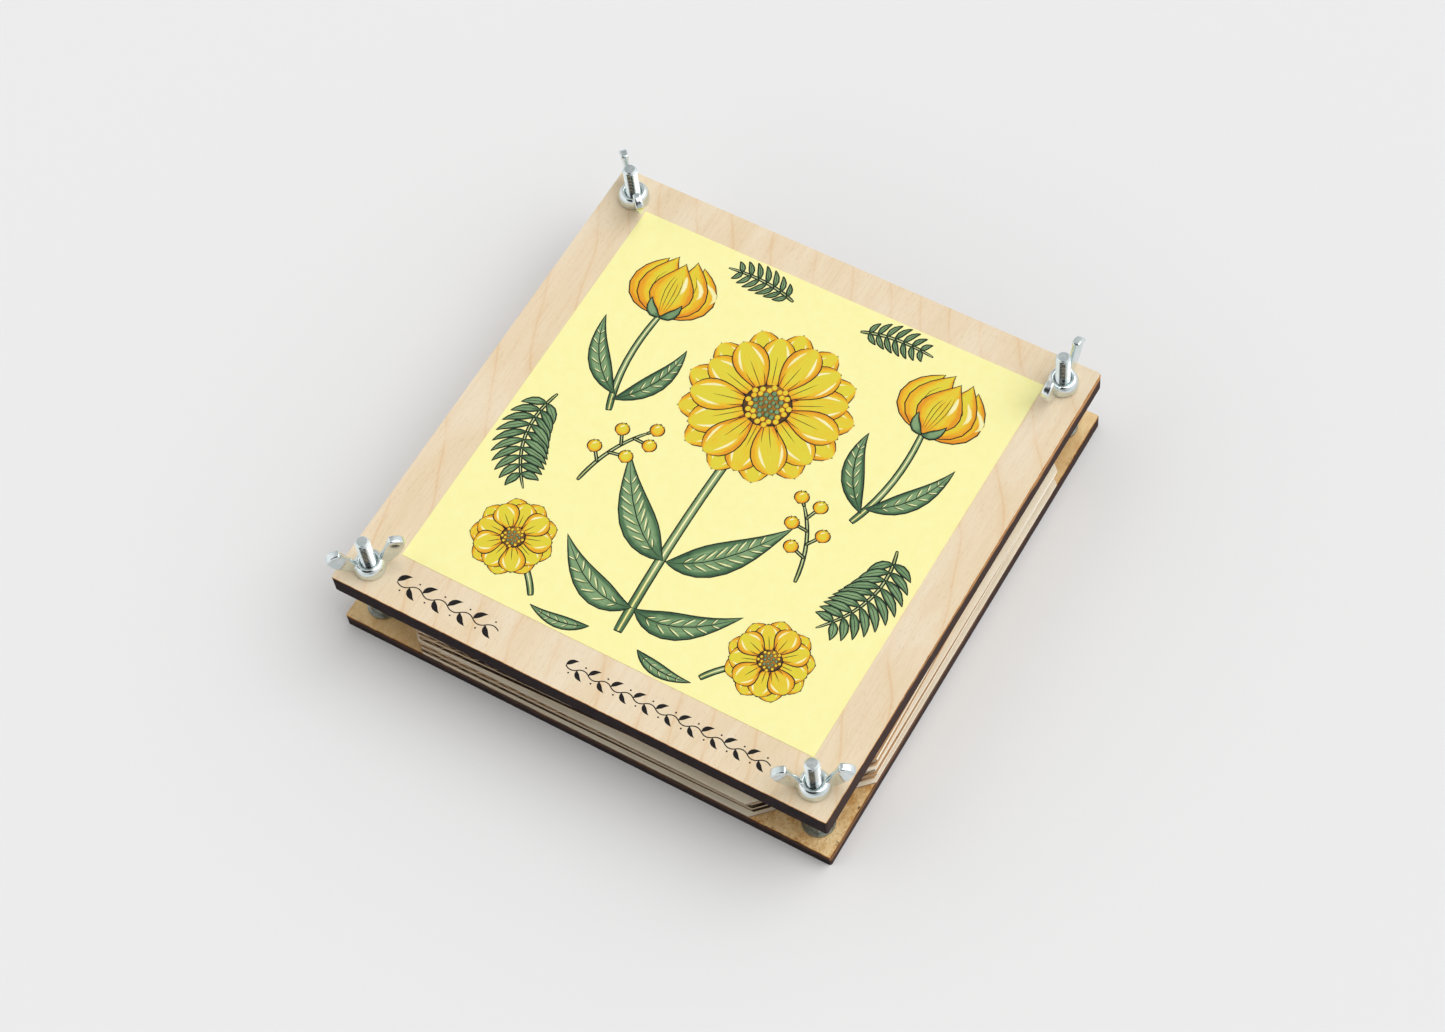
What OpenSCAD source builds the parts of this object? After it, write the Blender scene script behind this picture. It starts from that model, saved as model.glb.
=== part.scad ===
// Flower press: two square boards clamp a stack of blotting papers and corrugated cards.
// Four long screws stand in the base board, held by washers and hex nuts, and the press
// board slides on them under wing nuts. Millimetres, +Z up, origin under the base's centre.

/* [Boards] */
// Side of both square boards
board_w = 180; // [160:1:220]
// Thickness of the base board
base_t = 5; // [4:0.1:9]
// Thickness of the press board
press_t = 7.4; // [6:0.1:12]
// Radius of the boards' corners
board_r = 1; // [0.5:0.1:4]
// Gap around each bolt in the press board's holes
slide_gap = 0.6; // [0.3:0.1:1.2]

/* [Printed panel] */
// Gap between the panel's sides and the line of the wing nuts' feet
panel_gap = 0.35; // [0.2:0.05:5]
// Thickness of the printed panel
panel_t = 0.15; // [0.1:0.05:0.6]
// How far the panel sits right of the board's middle
panel_right = 0.75; // [0:0.25:1]
// How far the panel sits behind the board's middle
panel_back = 2.5; // [0:0.25:3]

/* [Bolts] */
// Diameter of the bolts
bolt_d = 4.9; // [4:0.1:5.4]
// Distance from the boards' sides to each bolt's axis
bolt_inset = 9.25; // [8:0.25:11]
// Length of bolt above the press board
bolt_rise = 16; // [15:0.5:24]
// Chamfer on the bolts' free ends
bolt_chamfer = 0.6; // [0.2:0.1:1]
// Diameter of the countersunk heads
head_d = 9.2; // [8:0.1:10]
// Height of the straight rim under each head
head_rim = 0.3; // [0.1:0.1:0.5]
// Length of each arm of the cross recess
recess_w = 4.4; // [3:0.1:5]
// Width of the arms of the cross recess
recess_slot = 1; // [0.6:0.1:1.4]
// Depth of the cross recess
recess_deep = 1.5; // [0.8:0.1:2]

/* [Clamp washers and nuts] */
// Diameter of the clamp washers
washer_d = 10.8; // [10:0.1:12]
// Thickness of the clamp washers
washer_t = 1; // [0.6:0.1:1.6]
// Clamp nuts' width across the flats
hex_w = 8; // [7:0.1:9]
// Height of the clamp nuts
hex_h = 4; // [3:0.1:5]
// Chamfer on the clamp nuts' corners
hex_chamfer = 0.5; // [0.2:0.1:0.8]

/* [Wing nuts] */
// Diameter of the foot of each wing nut
foot_d = 10.8; // [10:0.1:12]
// Height of the foot's straight rim
foot_rim = 1; // [0.5:0.1:1.4]
// Diameter of the hub at its top
hub_d = 7.8; // [7.4:0.1:8.6]
// Height of the hub
hub_h = 4; // [3.5:0.1:5]
// Diameter of the countersink at the hub's top
hub_sink_d = 6.2; // [5.8:0.1:6.6]
// Distance over both wings
wing_span = 26; // [22:0.5:30]
// Height of the wings' top corners
wing_h = 12.8; // [11:0.1:16]
// Distance between the wings' inner top corners
wing_gap = 15.8; // [13:0.1:18]
// Drop of the wings' top edge towards the tips
wing_drop = 3; // [1:0.1:4]
// Thickness of the wings
wing_t = 1.9; // [1.2:0.1:2.4]
// Thickness of the rim along the wings' top edge
wing_rim_t = 2.7; // [2.4:0.1:3.4]
// Depth of the rim along the wings' top edge
wing_rim_deep = 1.1; // [0.6:0.1:2]

/* [Sheets] */
// How far the widest sheet stops short of the boards' sides
sheet_margin = 0.6; // [0.5:0.1:8]
// How much more the narrowest sheet is cut back on each side
sheet_trim = 2; // [0:0.25:3]
// Clearance between the sheets' cut corners and the clamp washers
washer_clearance = 3; // [2.5:0.1:6]
// Thickness of a blotting paper
paper_t = 0.72; // [0.4:0.02:1.5]
// Thickness of a corrugated card
card_t = 3; // [2.5:0.1:5]
// Thickness of the liners on both faces of a card
liner_t = 0.35; // [0.2:0.05:0.6]
// Thickness of the fluted sheet inside a card
flute_t = 0.3; // [0.2:0.05:0.5]
// Distance from one flute to the next
flute_pitch = 7.4; // [6:0.1:10]
// Largest sideways slip of a sheet in the stack
sheet_slip = 1; // [0:0.1:1]
// Hairline of air between neighbours in the stack
air_gap = 0.02; // [0.01:0.01:0.05]

/* [Hidden] */

// Each corner is a pair of signs, to the right and to the back
front_left = [-1, -1];
front_right = [1, -1];
back_right = [1, 1];
back_left = [-1, 1];

// The stack from the bottom up
STACK = ["paper", "card", "paper", "paper", "card", "paper",
         "paper", "card", "paper", "paper", "card", "paper"];
// How much each sheet is cut back on each side, as shares of sheet_trim
trim_shares = [0.1, 0.45, 0.2, 0.2, 0.3, 0.1, 0, 1, 0.8, 0.8, 0.6, 0.2];
// Each sheet's slip right and back in the stack, as shares of sheet_slip
slip_shares = [[0.6, -0.6], [-0.6, -0.15], [0.2, -0.1], [0.3, -0.05], [0.5, -0.45], [0.5, -0.45],
               [0.5, -0.55], [0.2, -0.2], [0.2, 0], [0.15, 0.05], [0.15, -0.35], [0.1, -0.2]];
// Each sheet's turn in the stack, in degrees
sheet_turns = [0, 0.8, 0.5, 0.45, 0.5, 0.1, 0, 1.9, 1.7, 1.6, 1.3, 0.7];
// Turn of each wing nut from the right-hand direction, in degrees, in the order of the corners
nut_turns = [45, 31, 89, -45];

// Share of the flute pitch that is glued flat to a liner
glue_share = 0.16;
// Straight pieces along each side of a flute
flute_steps = 6;
// Share of the hub's height where its waist lies
waist_share = 0.6;
// Running gap between threads and between seated cones
fit_gap = 0.05;
// Overrun of cuts
over = 1;
$fn = 64;

bolt_r = bolt_d / 2;
bolt_place = board_w / 2 - bolt_inset;
function sheet_thickness(kind) = kind == "paper" ? paper_t : card_t;
// Height of the stack below sheet number i
function height_below(i) = i == 0 ? air_gap : height_below(i - 1) + sheet_thickness(STACK[i - 1]) + air_gap;
stack_h = height_below(len(STACK));
press_z = base_t + stack_h;
press_top = press_z + press_t;
bolt_top = press_top + bolt_rise;
panel_w = 2 * (bolt_place - foot_d / 2 - panel_gap);
// The cut corners of all sheets lie on one line past the washers, at this sum of its x and y
cut_line = 2 * bolt_place - sqrt(2) * (washer_d / 2 + washer_clearance);
// A wing's outer edge follows a circle centred on the bolt's axis at the height of the wing's top
wing_reach = wing_span / 2;
wing_r = sqrt(wing_reach ^ 2 + wing_drop ^ 2);

module board(thickness) {
  side = board_w - 2 * board_r;
  linear_extrude(thickness)
    union() {
      square([board_w, side], center = true);
      square([side, board_w], center = true);
      for (corner = [front_left, front_right, back_right, back_left])
        translate(corner * side / 2) circle(board_r);
    }
}

module at_corner(corner, z = 0) {
  translate([corner[0] * bolt_place, corner[1] * bolt_place, z]) children();
}

// Half section of a countersunk screw, head down
module bolt_section(grow) {
  head_r = head_d / 2;
  polygon([
    [0, -grow], [head_r + grow, -grow], [head_r + grow, head_rim],
    [bolt_r + grow, head_rim + head_r - bolt_r], [bolt_r + grow, bolt_top - bolt_chamfer],
    [bolt_r - bolt_chamfer, bolt_top], [0, bolt_top]
  ]);
}

module base_board() {
  color("BurlyWood")
    difference() {
      board(base_t);
      for (corner = [front_left, front_right, back_right, back_left])
        at_corner(corner) rotate_extrude() bolt_section(fit_gap);
    }
}

module bolt(corner) {
  color("Silver")
    at_corner(corner)
      difference() {
        rotate_extrude() bolt_section(0);
        translate([-recess_w / 2, -recess_slot / 2, -over])
          cube([recess_w, recess_slot, over + recess_deep]);
        translate([-recess_slot / 2, -recess_w / 2, -over])
          cube([recess_slot, recess_w, over + recess_deep]);
      }
}

module bolt_hole(length, gap) {
  translate([0, 0, -over]) cylinder(h = length + 2 * over, r = bolt_r + gap);
}

module clamp_washer(corner) {
  color("LightSlateGray")
    at_corner(corner, base_t)
      difference() {
        cylinder(h = washer_t, d = washer_d);
        bolt_hole(washer_t, fit_gap);
      }
}

module clamp_nut(corner) {
  flat_r = hex_w / 2;
  corner_r = flat_r / cos(30);
  color("LightSteelBlue")
    at_corner(corner, base_t + washer_t)
      difference() {
        intersection() {
          linear_extrude(hex_h) circle(corner_r, $fn = 6);
          rotate_extrude()
            polygon([
              [0, 0], [corner_r - hex_chamfer, 0], [corner_r, hex_chamfer],
              [corner_r, hex_h - hex_chamfer], [corner_r - hex_chamfer, hex_h], [0, hex_h]
            ]);
        }
        bolt_hole(hex_h, fit_gap);
      }
}

module press_board() {
  color("Wheat")
    translate([0, 0, press_z])
      difference() {
        board(press_t);
        for (corner = [front_left, front_right, back_right, back_left])
          at_corner(corner) bolt_hole(press_t, slide_gap);
      }
}

module printed_panel() {
  color("Khaki")
    translate([panel_right, panel_back, press_top])
      translate([-panel_w / 2, -panel_w / 2, 0]) cube([panel_w, panel_w, panel_t]);
}

// The hub is turned: a foot with a straight rim, a waist and a countersunk top
module wing_nut_hub() {
  foot_r = foot_d / 2;
  hub_r = hub_d / 2;
  sink_r = hub_sink_d / 2;
  bore_r = bolt_r + fit_gap;
  rotate_extrude()
    polygon([
      [bore_r, 0], [foot_r, 0], [foot_r, foot_rim], [(foot_r + hub_r) / 2, foot_rim + (foot_r - hub_r) / 2],
      [hub_r, hub_h * waist_share], [hub_r, hub_h], [sink_r, hub_h],
      [bore_r, hub_h - sink_r + bore_r]
    ]);
}

// Outline of one wing, from the hub's wall out to the tip
module wing_outline() {
  root_r = (hub_sink_d + hub_d) / 4;
  intersection() {
    translate([0, wing_h]) circle(wing_r);
    polygon([
      [root_r, foot_rim], [wing_reach, foot_rim], [wing_reach, wing_h - wing_drop],
      [wing_gap / 2, wing_h], [root_r, hub_h]
    ]);
  }
}

// The thick rim follows the wing's sloping top edge
module wing_rim_outline() {
  intersection() {
    wing_outline();
    polygon([
      [wing_gap / 2 - over, wing_h + over], [wing_gap / 2, wing_h - wing_rim_deep],
      [wing_reach, wing_h - wing_drop - wing_rim_deep], [wing_reach, wing_h + over]
    ]);
  }
}

module upright(thickness) {
  rotate([90, 0, 0]) translate([0, 0, -thickness / 2]) linear_extrude(thickness) children();
}

module wing_nut(corner, turn) {
  color("Gainsboro")
    at_corner(corner, press_top)
      rotate(turn)
        union() {
          wing_nut_hub();
          for (side = [0, 180])
            rotate(side) {
              upright(wing_t) wing_outline();
              upright(wing_rim_t) wing_rim_outline();
            }
        }
}

// Half the width of sheet number i of the stack
function sheet_half(i) = board_w / 2 - sheet_margin - trim_shares[i] * sheet_trim;

module sheet_outline(i) {
  half = sheet_half(i);
  inner = cut_line - half;
  polygon([
    [-half, -inner], [-inner, -half], [inner, -half], [half, -inner],
    [half, inner], [inner, half], [-inner, half], [-half, inner]
  ]);
}

// Puts sheet number i of the stack in its place
module in_stack(i) {
  slip = slip_shares[i] * sheet_slip;
  translate([slip[0], slip[1], base_t + height_below(i)]) rotate(sheet_turns[i]) children();
}

// Place in the stack of the nth sheet of a kind
function place_of(kind, n) = search([kind], STACK, 0)[0][n - 1];

module blotting_paper(n) {
  i = place_of("paper", n);
  color("AntiqueWhite") in_stack(i) linear_extrude(paper_t) sheet_outline(i);
}

// Empty channel on one side of the fluted sheet, one pitch long, open towards a liner
module flute_channel() {
  core_h = card_t - 2 * liner_t;
  rise = (core_h - flute_t) / 2;
  points = [
    for (i = [0:flute_steps])
      let (along = glue_share / 2 + (1 - glue_share) * i / flute_steps)
        [along * flute_pitch, flute_t / 2 + rise * cos(360 * along)]
  ];
  polygon(concat(points, [
    [flute_pitch * (1 - glue_share / 2), core_h / 2], [flute_pitch * glue_share / 2, core_h / 2]
  ]));
}

module corrugated_card(n) {
  i = place_of("card", n);
  half = sheet_half(i);
  flutes = ceil(half / flute_pitch);
  color("Tan")
    in_stack(i)
      intersection() {
        linear_extrude(card_t) sheet_outline(i);
        translate([0, 0, card_t / 2])
          upright(2 * (half + over))
            difference() {
              square([2 * (half + over), card_t], center = true);
              for (flute = [-flutes:flutes]) {
                translate([flute * flute_pitch, 0]) flute_channel();
                translate([(flute + 1 / 2) * flute_pitch, 0]) mirror([0, 1]) flute_channel();
              }
            }
      }
}

base_board();
bolt(front_left);  // bolt_front_left
bolt(front_right);  // bolt_front_right
bolt(back_right);  // bolt_back_right
bolt(back_left);  // bolt_back_left
clamp_washer(front_left);  // clamp_washer_front_left
clamp_washer(front_right);  // clamp_washer_front_right
clamp_washer(back_right);  // clamp_washer_back_right
clamp_washer(back_left);  // clamp_washer_back_left
clamp_nut(front_left);  // clamp_nut_front_left
clamp_nut(front_right);  // clamp_nut_front_right
clamp_nut(back_right);  // clamp_nut_back_right
clamp_nut(back_left);  // clamp_nut_back_left
press_board();
printed_panel();
wing_nut(front_left, nut_turns[0]);  // wing_nut_front_left
wing_nut(front_right, nut_turns[1]);  // wing_nut_front_right
wing_nut(back_right, nut_turns[2]);  // wing_nut_back_right
wing_nut(back_left, nut_turns[3]);  // wing_nut_back_left
blotting_paper(1);  // blotting_paper_1
blotting_paper(2);  // blotting_paper_2
blotting_paper(3);  // blotting_paper_3
blotting_paper(4);  // blotting_paper_4
blotting_paper(5);  // blotting_paper_5
blotting_paper(6);  // blotting_paper_6
blotting_paper(7);  // blotting_paper_7
blotting_paper(8);  // blotting_paper_8
corrugated_card(1);  // corrugated_card_1
corrugated_card(2);  // corrugated_card_2
corrugated_card(3);  // corrugated_card_3
corrugated_card(4);  // corrugated_card_4
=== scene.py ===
# %% [markdown]
# # A flower press
#
# Two square plywood boards squeeze a stack of blotting papers and corrugated cards. Four long
# screws stand in the base board, and wing nuts on them pull the press board down. The CAD model
# gives every piece its place and size. This lesson gives the pieces their finish, and rebuilds
# those whose small forms the CAD model leaves plain, such as the threads and the wing nuts.
#
# The CAD model is loaded first, as a frame that never moves. All lengths here are in metres.

# %% Load the frame
import math
import random

import bmesh
import bpy
from mathutils import Matrix, Vector


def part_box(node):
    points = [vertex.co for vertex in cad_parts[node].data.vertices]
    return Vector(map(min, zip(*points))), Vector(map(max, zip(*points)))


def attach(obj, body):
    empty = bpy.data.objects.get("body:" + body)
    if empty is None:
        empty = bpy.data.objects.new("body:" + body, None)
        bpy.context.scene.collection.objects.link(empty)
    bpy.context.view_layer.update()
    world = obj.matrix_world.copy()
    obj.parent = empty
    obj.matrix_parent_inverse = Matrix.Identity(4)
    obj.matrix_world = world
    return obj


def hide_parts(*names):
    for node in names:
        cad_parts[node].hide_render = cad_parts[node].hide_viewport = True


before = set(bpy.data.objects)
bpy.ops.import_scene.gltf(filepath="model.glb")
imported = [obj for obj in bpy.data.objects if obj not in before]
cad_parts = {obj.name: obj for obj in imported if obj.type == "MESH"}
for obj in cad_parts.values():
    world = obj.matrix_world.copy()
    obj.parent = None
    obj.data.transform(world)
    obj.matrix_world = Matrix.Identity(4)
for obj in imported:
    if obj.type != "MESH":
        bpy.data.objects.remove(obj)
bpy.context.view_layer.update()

MM = 0.001
CORNERS = ("front_left", "front_right", "back_right", "back_left")

# %% [markdown]
# ## Places from the frame
#
# The boards tell where everything sits: their half width, the top of the press board, and the
# spot of each bolt. Reading these from the frame keeps the looks true to the CAD model.

# %% Places
base_low, base_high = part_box("base_board")
press_low, press_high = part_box("press_board")
panel_low, panel_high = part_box("printed_panel")
HALF = press_high.x
TOP = press_high.z
BASE_TOP = base_high.z


def middle(node):
    """Middle of a CAD node's box."""
    low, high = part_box(node)
    return (low + high) / 2


bolt_spots = {corner: middle("bolt_" + corner) for corner in CORNERS}
print("half width", round(HALF, 4), "top", round(TOP, 4), "bolts", len(bolt_spots))

# %% [markdown]
# ## Shader maths in plain Python
#
# A finish is a network of nodes. Written by hand, each sum needs a node and two links. A small
# class that wraps a socket lets Python's own signs add the Math nodes, so a mask reads like a
# formula. One method makes every other node: it sets the node's options first and its sockets next.


# %% Sockets that add up
class Wire:
    """A node's output that can be used in sums."""

    def __init__(self, finish, socket):
        self.finish = finish
        self.socket = socket

    def maths(self, operation, *values):
        sockets = dict(enumerate(values))
        return self.finish.node("ShaderNodeMath", {"operation": operation}, sockets)

    def __add__(self, other):
        return self.maths("ADD", self, other)

    def __sub__(self, other):
        return self.maths("SUBTRACT", self, other)

    def __rsub__(self, other):
        return self.maths("SUBTRACT", other, self)

    def __mul__(self, other):
        return self.maths("MULTIPLY", self, other)

    def __truediv__(self, other):
        return self.maths("DIVIDE", self, other)

    def __gt__(self, other):
        return self.maths("GREATER_THAN", self, other)

    def __abs__(self):
        return self.maths("ABSOLUTE", self)

    # A number may also stand first
    __radd__ = __add__
    __rmul__ = __mul__

    def least(self, other):
        return self.maths("MINIMUM", self, other)

    def wave(self):
        return self.maths("SINE", self)

    def part(self):
        """What is left of a number after its whole part is taken away."""
        return self.maths("FRACT", self)

    def between(self, low, high, out_low=0.0, out_high=1.0):
        """Smooth step from out_low to out_high as the value goes from low to high."""
        settings = {"interpolation_type": "SMOOTHSTEP", "clamp": True}
        limits = {"From Min": low, "From Max": high, "To Min": out_low, "To Max": out_high}
        return self.finish.node("ShaderNodeMapRange", settings, {"Value": self, **limits})


# %% Colours
def shade(red, green, blue):
    """A screen colour of 0 to 255 as the linear colour that Blender's sockets take."""
    linear = []
    for value in (red, green, blue):
        c = value / 255
        linear.append(c / 12.92 if c <= 0.04045 else ((c + 0.055) / 1.055) ** 2.4)
    return (*linear, 1.0)


# %% A finish
class Finish:
    """A material that is built node by node, or a world."""

    def __init__(self, name, kind=bpy.data.materials):
        self.owner = kind.new(name)
        self.owner.use_nodes = True
        self.tree = self.owner.node_tree
        self.tree.nodes.clear()

    def node(self, kind, settings=None, sockets=None, out=0):
        node = self.tree.nodes.new(kind)
        for name, value in (settings or {}).items():
            if name == "stops":
                ramp = node.color_ramp
                while len(ramp.elements) < len(value):
                    ramp.elements.new(0.5)
                for element, (place, colour) in zip(ramp.elements, value):
                    element.position = place
                    element.color = colour
            else:
                setattr(node, name, value)
        for name, value in (sockets or {}).items():
            if isinstance(value, Wire):
                self.tree.links.new(value.socket, node.inputs[name])
            else:
                node.inputs[name].default_value = value
        return Wire(self, node.outputs[out]) if len(node.outputs) else None

    def place(self):
        """Object coordinates: the place of a point in the press, in metres."""
        return self.node("ShaderNodeTexCoord", out="Object")

    def axes(self, vector):
        """The three numbers of a vector."""
        split = self.node("ShaderNodeSeparateXYZ", sockets={0: vector}).socket.node
        return [Wire(self, output) for output in split.outputs]

    def faces(self, axis):
        """1 where the surface faces along the X, Y or Z axis, to either side, and 0 elsewhere."""
        normal = self.node("ShaderNodeNewGeometry", out="Normal")
        return abs(self.axes(normal)["XYZ".index(axis)]) > 0.5

    def noise(self, vector, scale, shift=(0, 0, 0), detail=3, rough=0.5, bend=0):
        """Noise with scale dents a metre along each axis. A shift gives another pattern."""
        mapped = {"Vector": vector, "Scale": scale, "Location": shift}
        grain = {"Scale": 1, "Detail": detail, "Roughness": rough, "Distortion": bend}
        spot = self.node("ShaderNodeMapping", sockets=mapped)
        return self.node("ShaderNodeTexNoise", sockets={"Vector": spot, **grain}, out="Fac")

    def mix(self, amount, first, second):
        """One colour over another, by an amount from 0 to 1."""
        sockets = {0: amount, 6: first, 7: second}
        return self.node("ShaderNodeMix", {"data_type": "RGBA"}, sockets, out=2)

    def layers(self, colour, *coats):
        """A colour with coats over it, each given by its amount and its colour."""
        for amount, coat in coats:
            colour = self.mix(amount, colour, coat)
        return colour

    def ramp(self, value, stops):
        return self.node("ShaderNodeValToRGB", {"stops": stops}, {0: value})

    def bump(self, height, distance, strength):
        sockets = {"Height": height, "Distance": distance, "Strength": strength}
        return self.node("ShaderNodeBump", sockets=sockets)

    def surface(self, **sockets):
        """Ends the network in one Principled shader and returns the material."""
        named = {name.replace("_", " "): value for name, value in sockets.items()}
        shader = self.node("ShaderNodeBsdfPrincipled", sockets=named)
        self.node("ShaderNodeOutputMaterial", sockets={"Surface": shader})
        print("finish", self.owner.name, len(self.tree.nodes), "nodes")
        return self.owner


# %% [markdown]
# ## Camera
#
# The camera stands high above the front right side and is tilted a little. A long lens keeps the
# board's sides nearly parallel. Its place is worked out from three turns about the middle of the
# press board's top, and a small sideways shift of the camera itself.

# %% Camera
CAMERA_TURN, CAMERA_RISE, CAMERA_ROLL = (math.radians(a) for a in (37.979, 59.313, -8.767))
CAMERA_FAR = 987.499 * MM
CAMERA_RIGHT, CAMERA_UP = 1.043 * MM, -13.17 * MM
LENS = 77.244
CLIP_NEAR, CLIP_FAR = 0.05, 20

camera_data = bpy.data.cameras.new("camera")
camera_data.lens = LENS
camera_data.clip_start, camera_data.clip_end = CLIP_NEAR, CLIP_FAR
camera = bpy.data.objects.new("camera", camera_data)
bpy.context.scene.collection.objects.link(camera)
back = Vector((
    math.sin(CAMERA_TURN) * math.cos(CAMERA_RISE),
    -math.cos(CAMERA_TURN) * math.cos(CAMERA_RISE),
    math.sin(CAMERA_RISE),
))
level_right = (-back).cross(Vector((0, 0, 1))).normalized()
level_up = level_right.cross(-back)
right = math.cos(CAMERA_ROLL) * level_right + math.sin(CAMERA_ROLL) * level_up
up = -math.sin(CAMERA_ROLL) * level_right + math.cos(CAMERA_ROLL) * level_up
turn = Matrix((right, up, back)).transposed().to_4x4()
camera.matrix_world = Matrix.Translation(
    Vector((0, 0, TOP)) + back * CAMERA_FAR + right * CAMERA_RIGHT + up * CAMERA_UP
) @ turn
bpy.context.scene.camera = camera
bpy.context.scene.view_settings.view_transform = "Standard"
print("camera at", [round(v, 3) for v in camera.matrix_world.translation])

# %% [markdown]
# ## Floor and light
#
# The press lies on a plain pale floor in soft studio light. A sun with a very wide disc lights
# the floor evenly, so the background stays one colour, and its shadows are soft. The world adds
# light from all round, and it is what the metal mirrors. It is brightest to the left and right,
# like two white screens, and has one round dark place high above the front, like the gap between
# them. Bright metal looks flat unless it has something dark to mirror as well.

# %% Floor
FLOOR_SIDE = 12.0
FLOOR_DROP = 0.02 * MM

floor_finish = Finish("pale_floor")
floor_material = floor_finish.surface(
    Base_Color=shade(238, 238, 238), Roughness=0.9, Specular_IOR_Level=0.0,
)
floor_form = bmesh.new()
bmesh.ops.create_grid(floor_form, x_segments=1, y_segments=1, size=FLOOR_SIDE / 2)
bmesh.ops.translate(floor_form, verts=floor_form.verts, vec=(0, 0, -FLOOR_DROP))
floor_mesh = bpy.data.meshes.new("floor")
floor_form.to_mesh(floor_mesh)
floor_form.free()
floor = bpy.data.objects.new("floor", floor_mesh)
floor.data.materials.append(floor_material)
bpy.context.scene.collection.objects.link(floor)
print("floor side", FLOOR_SIDE)

# %% Light
SUN_POWER, SUN_DISC = 1.25, math.radians(60)
SUN_SIDE = Vector((0.45, 0.4, 1.0))
WORLD_LOW, WORLD_HIGH = 0.85, 1.07
SCREENS = Vector((0.79, 0.61, 0.0))
SCREEN_BASE, SCREEN_GAIN = 0.45, 0.75
DARK_GAP = Vector((0.07, -0.58, 0.86)).normalized()
GAP_INNER, GAP_OUTER = math.cos(math.radians(24)), math.cos(math.radians(33))
GAP_SHARE = 0.04

sun_data = bpy.data.lights.new("sun", "SUN")
sun_data.energy = SUN_POWER
sun_data.angle = SUN_DISC
sun = bpy.data.objects.new("sun", sun_data)
sun.rotation_euler = SUN_SIDE.to_track_quat("Z", "Y").to_euler()
bpy.context.scene.collection.objects.link(sun)

sky = Finish("studio", bpy.data.worlds)
bpy.context.scene.world = sky.owner
way = sky.node("ShaderNodeTexCoord", out="Generated")
rise = sky.axes(way)[2]
glow = rise.between(0.0, 0.9, WORLD_LOW, WORLD_HIGH)
sideways, toward = (
    sky.node("ShaderNodeVectorMath", {"operation": "DOT_PRODUCT"}, {0: way, 1: aim}, out="Value")
    for aim in (SCREENS, DARK_GAP)
)
glow = glow * (abs(sideways) * SCREEN_GAIN + SCREEN_BASE)
glow = glow * toward.between(GAP_OUTER, GAP_INNER, 1.0, GAP_SHARE)
sky_light = sky.node("ShaderNodeBackground", sockets={"Color": (1, 1, 1, 1), "Strength": glow})
sky.node("ShaderNodeOutputWorld", sockets={"Surface": sky_light})
print("sun", SUN_POWER, "world", WORLD_LOW, WORLD_HIGH)

# %% [markdown]
# ## A piece from a bmesh
#
# Every new piece ends the same way: its shape becomes a mesh, it gets its material, and it rides
# on the CAD body that it belongs to.


# %% Finishing a piece
def finish_piece(name, form, material, body, smooth=30):
    """Turns a bmesh into a named piece that rides on a CAD body.

    Edges sharper than smooth, in degrees, stay crisp. Normals stored with a CAD mesh are
    dropped, because they would hide the new edges."""
    mesh = bpy.data.meshes.new(name)
    form.to_mesh(mesh)
    form.free()
    piece = bpy.data.objects.new(name, mesh)
    bpy.context.scene.collection.objects.link(piece)
    mesh.materials.append(material)
    if mesh.has_custom_normals:
        mesh.attributes.remove(mesh.attributes["custom_normal"])
    if smooth:
        mesh.polygons.foreach_set("use_smooth", [True] * len(mesh.polygons))
        mesh.set_sharp_from_angle(angle=math.radians(smooth))
    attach(piece, body)
    print(name, len(mesh.polygons), "faces")
    return piece


def dress(node, material):
    """Gives a CAD node its finish and leaves its shape alone."""
    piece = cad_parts[node]
    piece.data.materials.clear()
    piece.data.materials.append(material)


# %% [markdown]
# ## Plywood
#
# The boards are pale birch plywood, cut by a laser. The veneer is nearly white wood with fine
# lines along the grain and a few faint, warm streaks. The laser chars the cut sides to a dark
# brown and leaves a thin scorched line on the face beside them. All of this follows the place of
# a point: how far it lies from the board's side, and whether it faces up or sideways.
#
# A helper gives both boards their cut sides: plies, soot and scratches, with lighter patches
# where the beam passed quickly. The sides that face along X are painted lighter than the
# others, as painted light.


# %% Cut sides
PLIES = 5


def cut_side(wood, place, bottom, top, low, high, amber, turn_amber):
    """Colour and soot of a charred side, with painted light where it faces X. Amber shows mostly on
    the sides that face X, high up.
    """
    _, y, z = wood.axes(place)
    facing_x = wood.faces("X")
    depth = (top - z) / (top - bottom)
    ply = (depth * PLIES).part()
    seam = abs(ply - 0.5).between(0.34, 0.5)
    soot = wood.noise(place, (210, 210, 700), detail=5, rough=0.62)
    patches = wood.noise(place, (36, 36, 90), (5, 5, 5), detail=3, rough=0.6)
    scratch = wood.noise(place, (1500, 1500, 150), detail=3)
    share = (y * turn_amber + HALF) / (2 * HALF)
    ragged = (patches - 0.5) * 0.9 + (soot - 0.5) * 0.4
    glow = (share * 0.75 + ragged - depth * 1.5).between(0.0, 0.42)
    side = wood.layers(
        wood.mix(soot.between(0.32, 0.68), low, high),
        # Painted light: the sides that face along X are made lighter than the front and back
        (facing_x * 0.55, shade(84, 63, 56)),
        (seam * 0.6, shade(20, 13, 15)),
        (scratch.between(0.55, 0.8) * 0.25, shade(92, 72, 66)),
        (glow * (facing_x * 0.85 + 0.15), amber),
        (depth.between(0.86, 1.0) * 0.6, shade(34, 23, 25)),
    )
    return side, soot


def rim_burn(wood, place, wide, stops):
    """How strongly a point near a board's side is scorched, from 0 to 1, and its colour.

    The burn is widest on the front and right, and hardly shows at the back and left."""
    x, y, _ = wood.axes(place)
    front_right = (HALF - x).least(HALF + y)
    back_left = (HALF + x).least(HALF - y)
    reach = front_right.least(back_left + wide * 0.75)
    ragged = wood.noise(place, (240, 240, 240), detail=4, rough=0.7)
    rim = (reach + (ragged - 0.5) * wide).between(0.0, wide, 1.0, 0.0)
    return rim, wood.ramp(rim, stops)


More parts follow.
